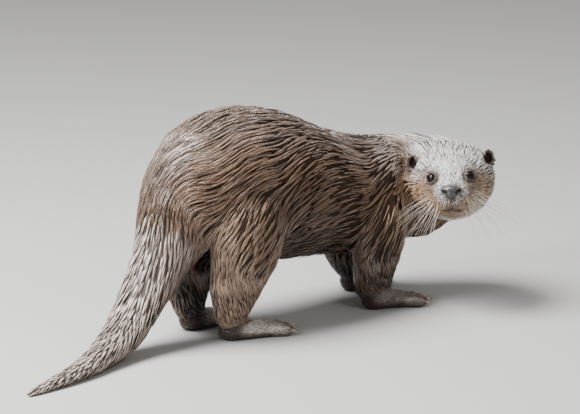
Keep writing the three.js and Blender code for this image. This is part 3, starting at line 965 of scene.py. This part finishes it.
class Ribs:
    """Ribs traced over the skin along the lie of the coat, and the locks that each is made of.

    A rib's line goes in even steps along the lie, turned by a small lean, and each step is dropped back on
    the skin. A lock starts and ends at its own shares of the rib. Its height is the coat's depth times
    along * (2 - along) to a power, less at the rib's sides, and it gathers to the rib's line at the tip.
    """

    def __init__(self, candidates, weight, gap, squeeze, locks_each, lock_width, rings, dice):
        place, row = settle(spaced(candidates, weight, gap, squeeze, dice))
        count, root_row = len(place), row
        length = rib_length[row] * (0.80 + 0.40 * dice.random(count))
        lean = (dice.random(count) - 0.5) * 0.14
        proud = 0.80 + 0.28 * dice.random(count) + 0.35 * dice.random(count) ** 5
        traced = []
        for _ in range(TRACE):
            up = normals[row]
            way = unit(flow[row] + np.cross(up, flow[row]) * lean[:, None])
            traced.append((place, up, np.cross(up, way), coat_depth[row] * proud))
            place, row = settle(place + way * (length / (TRACE - 1))[:, None])
        line, up, side, deep = (np.stack(values, 1) for values in zip(*traced))

        rib = np.repeat(np.arange(count), locks_each)
        total = len(rib)
        self.rows, self.rings = root_row[rib], rings
        aside = dice.random(total) * 2 - 1  # a lock's place across its rib, from -1 to 1
        chance = dice.random(count)[rib]
        # A lock's tone: a random share for its rib and for itself, plus painted shade that darkens the locks
        # at the rib's sides, so that each rib's middle reads as a painted highlight.
        self.tone = 0.2 * chance + 0.5 * chance**4 + 0.15 * dice.random(total) + 0.55 * aside**2
        start = 0.34 * dice.random(total) ** 1.3
        end = 1.0 - 0.30 * dice.random(total) ** 1.5 * (1 - start)
        self.width = lock_width * (0.8 + 0.4 * dice.random(total))
        self.path, self.side, self.up = [], [], []
        for share in np.linspace(0, 1, rings + 1):
            along = start + (end - start) * share  # how far down its rib this ring of each lock is
            k = np.minimum((along * (TRACE - 1)).astype(int), TRACE - 2)
            f = (along * (TRACE - 1) - k)[:, None]
            here = line[rib, k] * (1 - f) + line[rib, k + 1] * f
            over = unit(up[rib, k] * (1 - f) + up[rib, k + 1] * f)
            gather = 1 - 0.92 * along**1.8
            crown = 1 - 0.5 * aside**2 * (1 - 0.5 * share)
            height = deep[rib, k] * crown * (along * (2 - along)) ** 0.85 - ROOT_SUNK * (share == 0)
            across = side[rib, k]
            self.path.append(here + across * (aside * 0.5 * gap * gather)[:, None] + over * height[:, None])
            self.side.append(across)
            self.up.append(over)

    def corners(self):
        """Ring by ring, the three corners of each lock's section, then its tip."""
        found = []
        for ring in range(self.rings):
            ahead = unit(self.path[ring + 1] - self.path[max(ring - 1, 0)])
            side = unit(self.side[ring] - ahead * (self.side[ring] * ahead).sum(1)[:, None])
            up = np.cross(ahead, side)
            up = up * np.sign((up * self.up[ring]).sum(1))[:, None]
            half = (self.width * 0.5 * LOCK_SHAPE[ring])[:, None]
            found += [self.path[ring] + way for way in (side * half, up * half * LOCK_HIGH, -side * half)]
        made = np.stack(found + [self.path[self.rings]], axis=1)
        made[..., 2] = np.maximum(made[..., 2], 0)
        return made


def lock_faces(rings):
    """The triangles of one lock, as numbers of its corners: sides, point and root."""
    faces = []
    for ring in range(rings - 1):
        for k in range(3):
            a, b = ring * 3 + k, ring * 3 + (k + 1) % 3
            faces += [(a, b, b + 3), (a, b + 3, a + 3)]
    last = (rings - 1) * 3
    faces += [(last + k, last + (k + 1) % 3, last + 3) for k in range(3)]
    return np.array(faces + [(0, 2, 1)])


def chart(rows):
    """Where the skin's points in these rows lie on an unwrap: the body along its line and round it, and
    the head and each leg on charts of their own above it."""
    place = points[rows]
    _, aside, above = off_line(rows, place)
    u = line_share[nearest_on_line[rows]]
    v = (np.arctan2(aside, above) / math.tau + 0.5) * 0.46
    for number, nodes in enumerate(LEGS.values()):
        mine = np.isin(node_here[rows], nodes)
        away = place[mine] - np.mean([middle(node) for node in nodes], axis=0)
        u[mine] = 0.50 + 0.12 * number + 0.115 * (np.arctan2(away[:, 1], away[:, 0]) / math.tau + 0.5)
        v[mine] = 0.50 + 0.48 * np.clip(place[mine, 2] / 0.25, 0, 1)
    mine = on_head[rows]
    ahead, aside, above = to_head(place[mine]).T
    polar = np.hypot(aside, above)
    tilt = np.arctan2(polar, ahead) / math.pi * 0.23
    u[mine], v[mine] = np.array([[0.24], [0.74]]) + tilt * np.array([aside, above]) / np.maximum(polar, 1e-9)
    return np.column_stack([u, v])


def coat_piece(name, ribs, chosen):
    """Makes one piece of the coat from the chosen locks."""
    corners = ribs.corners()[chosen]
    count, size = corners.shape[:2]
    index = (np.arange(count)[:, None, None] * size + lock_faces(ribs.rings)).reshape(-1, 3)
    mesh = bpy.data.meshes.new(name)
    mesh.vertices.add(count * size)
    mesh.loops.add(index.size)
    mesh.polygons.add(len(index))
    mesh.vertices.foreach_set("co", corners.astype(np.float32).ravel())
    mesh.loops.foreach_set("vertex_index", index.astype(np.int32).ravel())
    mesh.polygons.foreach_set("loop_start", np.arange(0, index.size, 3, dtype=np.int32))
    mesh.update()
    rows = ribs.rows[chosen]
    along = np.append(np.repeat(np.arange(ribs.rings), 3), ribs.rings) / ribs.rings
    across = np.append(np.tile([-0.5, 0.0, 0.5], ribs.rings), 0.0)
    uv = chart(rows)[:, None] + np.column_stack([along, across]) * PATCH
    uv = uv.reshape(-1, 2)[index.ravel()]
    mesh.uv_layers.new(name="OFBake").data.foreach_set("uv", uv.astype(np.float32).ravel())
    paint_points(mesh, np.repeat(skin_colour[rows], size, axis=0), along=np.tile(along, count),
                 tone=np.repeat(ribs.tone[chosen], size), face=np.repeat(face_pale[rows], size))
    made = linked(name, smooth_shaded(mesh))
    mesh.materials.append(coat_material)
    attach(made, "root")


coat_paint = Paint("wet_guard_hair")
tint, tone = coat_paint.attribute("colour", out="Color"), coat_paint.attribute("tone")
along, face = coat_paint.attribute("along"), coat_paint.attribute("face")
# Painted shade deep in the coat: each lock is near black at its root and takes its colour towards the tip,
# less dark on the face.
body_root_shade = coat_paint.mix(0.14, (0.012, 0.008, 0.006, 1), tint)
root_shade = coat_paint.mix(face, body_root_shade, (0.075, 0.058, 0.048, 1))
deep = coat_paint.mix(coat_paint.ramp(along, 0.0, 0.34) * 0.85 + 0.15, root_shade, tint)
coat_material = coat_paint.finish(
    base_color=coat_paint.mix(coat_paint.ramp(tone, 0.15, 0.9) * 0.85, deep, root_shade),
    roughness=0.24, specular=1.0, coat_weight=0.35, bump=(coat_paint.noise(700.0, 2.0), 0.35, 0.0004))

bare_spots = fade(lid_ring, 1.30, 1.14) + fade(nose_ring, 1.14, 1.06)
bare_spots += fade(ear_cup, 0.75, 0.95) + fade(mouth_gap / MM, 1.7, 1.0)
covered = (1 - np.clip(bare_spots, 0, 1)) * (points[:, 2] > 0.8 * MM)
fine_part = np.clip(fade(face_front, 0.2, 0.45) + fade(by_ear, 0.3, 0.6), 0, 1)
COATS = {  # places tried, where, gap in mm, squeeze, locks in a rib, a lock's width in mm, rings, pieces
    "body": (170000, on(*BIG) * covered * (1 - fine_part), 3.3, 0.17, 6, 1.3, 3, 5),
    "limbs_and_tail": (60000, on(*SMALL) * covered, 2.5, 0.22, 5, 1.15, 3, 2),
    "head": (90000, on_head * (1 - fine_part) * covered, 2.4, 0.24, 8, 0.75, 3, 2),
    "face": (200000, fine_part * covered, 1.25, 1, 2, 0.65, 2, 2),
    "feet": (50000, on(*FEET_KINDS) * covered, 1.8, 1, 2, 0.7, 2, 1),
}
dice = np.random.default_rng(11)
for name, (tried, where, gap, squeeze, locks, width, rings, parts) in COATS.items():
    ribs = Ribs(tried, where, gap * MM, squeeze, locks, width * MM, rings, dice)
    order = np.argsort(nearest_on_line[ribs.rows], kind="stable")
    for number, chosen in enumerate(np.array_split(order, parts)):
        coat_piece(f"coat_{name}_{number + 1}" if parts > 1 else f"coat_{name}", ribs, chosen)

# ---- eyes ----
# Two dark wet eyeballs with a slightly raised clear front and a faint brown ring. They sit in hollows
# of the skin, and its lids close round them.


def turns(rows, columns):
    """The angle from the front and the turn round it, over a grid that covers a ball."""
    angle, turn = np.linspace(0, math.pi, rows), np.linspace(0, math.tau, columns, endpoint=False)
    return np.meshgrid(angle, turn, indexing="ij")


def grid_mesh(name, grid):
    """A mesh on a grid of points, rows by columns. It joins the last column to the first, and each end
    row is one point, made by merging."""
    rows, columns = grid.shape[:2]
    r, c = np.indices((rows - 1, columns))
    a, b = r * columns + c, r * columns + (c + 1) % columns
    faces = np.stack([a, b, b + columns, a + columns], axis=-1).reshape(-1, 4)
    mesh = bpy.data.meshes.new(name)
    mesh.from_pydata(grid.reshape(-1, 3).tolist(), [], faces.tolist())
    with editing(mesh) as work:
        bmesh.ops.remove_doubles(work, verts=work.verts, dist=0.002 * MM)
        bmesh.ops.recalc_face_normals(work, faces=work.faces)
    return smooth_shaded(mesh)


def eyeball(side):
    """A sphere round the eye's axis, turned from front to back, with a low bulge at the front."""
    angle, turn = turns(41, 64)
    axis, across, rise = eye_axes(side)
    radius = EYE_RADIUS * (0.985 + 0.03 * fade(angle, 0.9, 0.2))
    return EYES[side] + radius[..., None] * (
        np.cos(angle)[..., None] * axis + (np.sin(angle) * np.cos(turn))[..., None] * across
        + (np.sin(angle) * np.sin(turn))[..., None] * rise)


eye_paint = Paint("wet_eye")
off_axis = eye_paint.attribute("off_axis")
iris = eye_paint.ramp(off_axis, 0.30, 0.34) * (1 - eye_paint.ramp(off_axis, 0.62, 0.72))
flecks = eye_paint.noise(1500.0, 2.0) * 0.6 + 0.4
eye_material = eye_paint.finish(
    base_color=eye_paint.mix(iris * flecks, (0.003, 0.0025, 0.0025, 1), (0.010, 0.006, 0.004, 1)),
    roughness=0.04, specular=0.24)
for side in SIDES:
    eye = linked("eyeball_" + side, grid_mesh("eyeball_" + side, eyeball(side)))
    cosine = unit(points_of(eye.data) - EYES[side]) @ eye_axis[side]
    paint_points(eye.data, off_axis=np.arccos(np.clip(cosine, -1, 1)))
    eye.data.materials.append(eye_material)
    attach(eye, "root")
    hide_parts("eye_" + side)

# ---- nose ----
# The bare nose pad: wide above, narrowing to a short point over the lip, with a comma-shaped nostril
# on each side, a shallow groove down the middle, and fine pebbled skin.

NOSE_AHEAD_DEEP, NOSE_BEHIND_DEEP, PEBBLE = 7.0, 6.0, 1100.0
NOSTRIL_DEEPEST = 5.6
NOSTRILS = (((8.0, -0.6), (2.6, 2.9), 5.4), ((11.2, 1.2), (2.4, 1.6), 3.6), ((10.4, -3.0), (2.2, 1.3), 3.0))


def nostril_depth(left, up):
    """A comma on each side, as the sum of three round pits, each a place, a width and a depth in mm."""
    pits = [deep * np.exp(-(((abs(left) - place[0]) / size[0]) ** 2 + ((up - place[1]) / size[1]) ** 2))
            for place, size, deep in NOSTRILS]
    return np.minimum(sum(pits), NOSTRIL_DEEPEST)


def nose_surface():
    """A flattened ball, narrower below, with the nostrils and a shallow groove pressed in its front."""
    angle, turn = turns(111, 180)
    round_out = np.maximum(np.sin(angle), 0.25) ** -0.22
    side, up = np.sin(angle) * np.cos(turn) * round_out, np.sin(angle) * np.sin(turn) * round_out
    x = side * NOSE_WIDE * nose_taper(up)
    y = np.where(up > 0, up * 8.0 - 1.3 * side**2 * up, up * 10.2)
    front = np.cos(angle) * np.where(np.cos(angle) > 0, NOSE_AHEAD_DEEP, NOSE_BEHIND_DEEP)
    pressed = nostril_depth(x, y) + 0.8 * bell(x, 0.7) * fade(y, 2.0, -3.0)
    front = front - pressed * fade(np.cos(angle), -0.1, 0.25)
    return from_head(np.stack([NOSE_PLACE[0] + front, x, y + NOSE_PLACE[2]], axis=-1) * MM)


nose = linked("nose", grid_mesh("nose", nose_surface()))
_, nose_left, nose_up = to_head(points_of(nose.data)).T / MM
# Painted shade: the nostril pits are painted near black by their depth.
paint_points(nose.data, nostril=fade(nostril_depth(nose_left, nose_up - NOSE_PLACE[2]), 1.5, 3.4))
nose_paint = Paint("nose_skin")
pebbles = nose_paint.pattern("ShaderNodeTexVoronoi", Scale=PEBBLE)
mottle = nose_paint.ramp(nose_paint.noise(260.0, 3.0), 0.3, 0.7)
leather = nose_paint.mix(mottle, (0.022, 0.020, 0.021, 1), (0.075, 0.070, 0.073, 1))
nose.data.materials.append(nose_paint.finish(
    base_color=nose_paint.mix(nose_paint.attribute("nostril"), leather, (0.003, 0.003, 0.003, 1)),
    roughness=0.30, specular=0.65, bump=(pebbles, 0.35, 0.0004)))
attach(nose, "root")
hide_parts("nose_pad")

# ---- claws ----
# Short pale horn claws, five on each webbed foot, curved down and tapering to a blunt point. Each one
# comes out of the tip of its toe.

CLAW_LENGTH, CLAW_RADIUS, CLAW_START = 9.0, 2.0, 11.0  # in mm; each starts this far back from the toe's tip
CLAW_HIGH, CLAW_DIP = 6.8, 3.6


def claw(heel, turn, foot_length, toe):
    """A round section that shrinks along an arc which dips towards its tip."""
    share = np.linspace(0, 1, 9)[:, None]
    around = np.linspace(0, math.tau, 10, endpoint=False)[None]
    radius = CLAW_RADIUS * np.sqrt(np.maximum(1 - share**1.6, 0)) * (share > 0) * (1 - share * 0.35)
    x = foot_length - CLAW_START - TOE_ARC * toe**2 + share * CLAW_LENGTH + 0 * around
    y = toe * TOE_GAP * 1.12 + radius * 0.72 * np.cos(around)
    z = np.maximum(CLAW_HIGH - CLAW_DIP * share**1.7 + radius * np.sin(around), 0.3)
    cos, sin = math.cos(math.radians(turn)), math.sin(math.radians(turn))
    return (np.stack([x * cos - y * sin, x * sin + y * cos, z], axis=-1) + [*heel, 0.0] + BODY_ORIGIN) * MM


def joined(name, grids):
    """One mesh from many grids of points."""
    mesh = bpy.data.meshes.new(name)
    with editing(mesh) as work:
        for grid in grids:
            work.from_mesh(grid_mesh(name, grid))
    return mesh


claw_paint = Paint("claw_horn")
grain = claw_paint.ramp(claw_paint.noise(500.0, 2.0), 0.3, 0.7)
horn = claw_paint.mix(grain, (0.26, 0.20, 0.14, 1), (0.52, 0.44, 0.35, 1))
claw_material = claw_paint.finish(base_color=horn, roughness=0.32, specular=0.5)
for foot, (heel, turn, foot_length, _) in FEET.items():
    grids = [claw(heel, turn, foot_length, toe) for toe in range(-2, 3)]
    claws = linked("claws_" + foot, joined("claws_" + foot, grids))
    claws.data.materials.append(claw_material)
    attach(claws, "root")

# ---- whiskers ----
# Long pale stiff hairs in five rows on each side of the upper lip. They are rooted a little below the
# skin, and sweep out, down and back.

WHISKER_ROWS = ((52, 9, -9), (49, 12, -8), (46, 15, -7), (42, 18, -6), (38, 21, -5))  # ahead, aside, up in mm
WHISKERS_EACH, WHISKER_RADIUS = 5, 0.21 * MM
WHISKER_STEP = np.array([-0.8, 1.0, -3.4])  # from one root to the next down a row, in mm
FRONT_WAY, WAY_STEP = np.array([0.20, 0.30, -0.72]), np.array([-0.14, 0.16, 0.06])
FRONT_LENGTH, LENGTH_STEP, LENGTH_SPREAD = 44, 9, 16  # in mm: in the front row, more each row, by chance
PAST_BOX = 6 * MM  # how far the tips may reach past the box of the solids
whisker_dice = np.random.default_rng(3)


def whisker(root, way, length):
    """A thin round section carried along an arc that droops, and shrinks to a fine tip."""
    share = np.linspace(0, 1, 12)
    droop = np.outer(share**2, head_up) * -0.22 * length
    back = np.outer(share**2, head_forward) * -0.20 * length
    path = root + np.outer(share, way) * length + droop + back
    path[:, 1] = np.maximum(path[:, 1], cad_box[0][1] - PAST_BOX)
    ahead = unit(np.gradient(path, axis=0))
    side = unit(np.cross(ahead, head_up))
    up = np.cross(side, ahead)
    size = (WHISKER_RADIUS * (1 - share) ** 0.7)[:, None, None]
    around = np.linspace(0, math.tau, 5, endpoint=False)[None, :, None]
    return path[:, None] + size * (np.cos(around) * side[:, None] + np.sin(around) * up[:, None])


grids = []
for sign in SIDES.values():
    mirror = np.array([1, sign, 1])
    for row, place in enumerate(WHISKER_ROWS):
        for column in range(WHISKERS_EACH):
            jitter = whisker_dice.random(6) - 0.5
            start = (place + WHISKER_STEP * column + [0, 0, 2] + jitter[:3]) * mirror
            root, root_row = settle(from_head(start * MM)[None])
            way = unit((FRONT_WAY + WAY_STEP * row + jitter[3:] * [0.20, 0.3, 0.25]) * mirror)
            length = (FRONT_LENGTH + LENGTH_STEP * row + LENGTH_SPREAD * whisker_dice.random()) * MM
            grids.append(whisker(root[0] - normals[root_row[0]] * MM, way @ HEAD_AXES, length))
whisker_paint = Paint("whisker_hair")
banded = whisker_paint.mix(whisker_paint.noise(90.0), (0.42, 0.36, 0.29, 1), (0.78, 0.73, 0.66, 1))
whiskers = linked("whiskers", joined("whiskers", grids))
whiskers.data.materials.append(whisker_paint.finish(base_color=banded, roughness=0.35))
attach(whiskers, "root")
